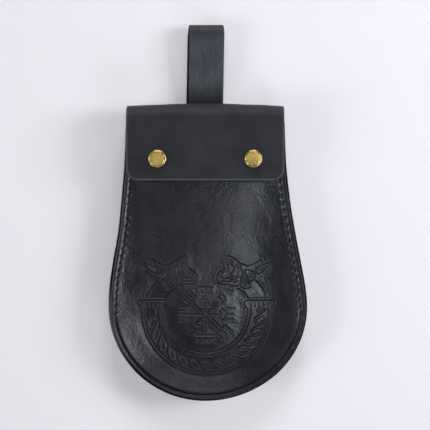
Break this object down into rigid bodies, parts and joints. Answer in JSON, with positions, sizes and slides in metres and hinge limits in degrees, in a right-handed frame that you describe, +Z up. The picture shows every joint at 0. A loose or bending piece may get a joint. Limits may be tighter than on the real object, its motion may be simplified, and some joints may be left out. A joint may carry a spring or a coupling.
{
  "type": "leather belt pouch",
  "caption": "Black leather belt pouch lying on its back: domed pear-shaped front, gusset, fold-over flap held by brass snaps, and a folded strap loop for the wearer's belt",
  "frame": {"origin": "on the surface it lies on, under the middle of the whole pouch", "axes": "X runs across the pouch, Y from its round bottom to the end of its belt loop, Z up out of its front"},
  "size_m": [0.138, 0.2629, 0.0315],
  "materials": {
    "flap_leather": "matte smooth, charcoal black",
    "front_leather": "semi-gloss smooth, blue-black, moulded",
    "gusset_leather": "matte smooth, black, raw cut edges",
    "strap_leather": "satin, fine pebble, black",
    "brass": "satin with polished rim"
  },
  "bodies": {
    "root": {"back_panel_flap": "flap_leather", "front_panel": "front_leather", "gusset": "gusset_leather", "belt_loop": "strap_leather", "snap_cap_left": "brass", "snap_cap_right": "brass", "snap_socket_left": "brass", "snap_socket_right": "brass", "snap_stud_left": "brass", "snap_stud_right": "brass"}
  },
  "joints": []
}
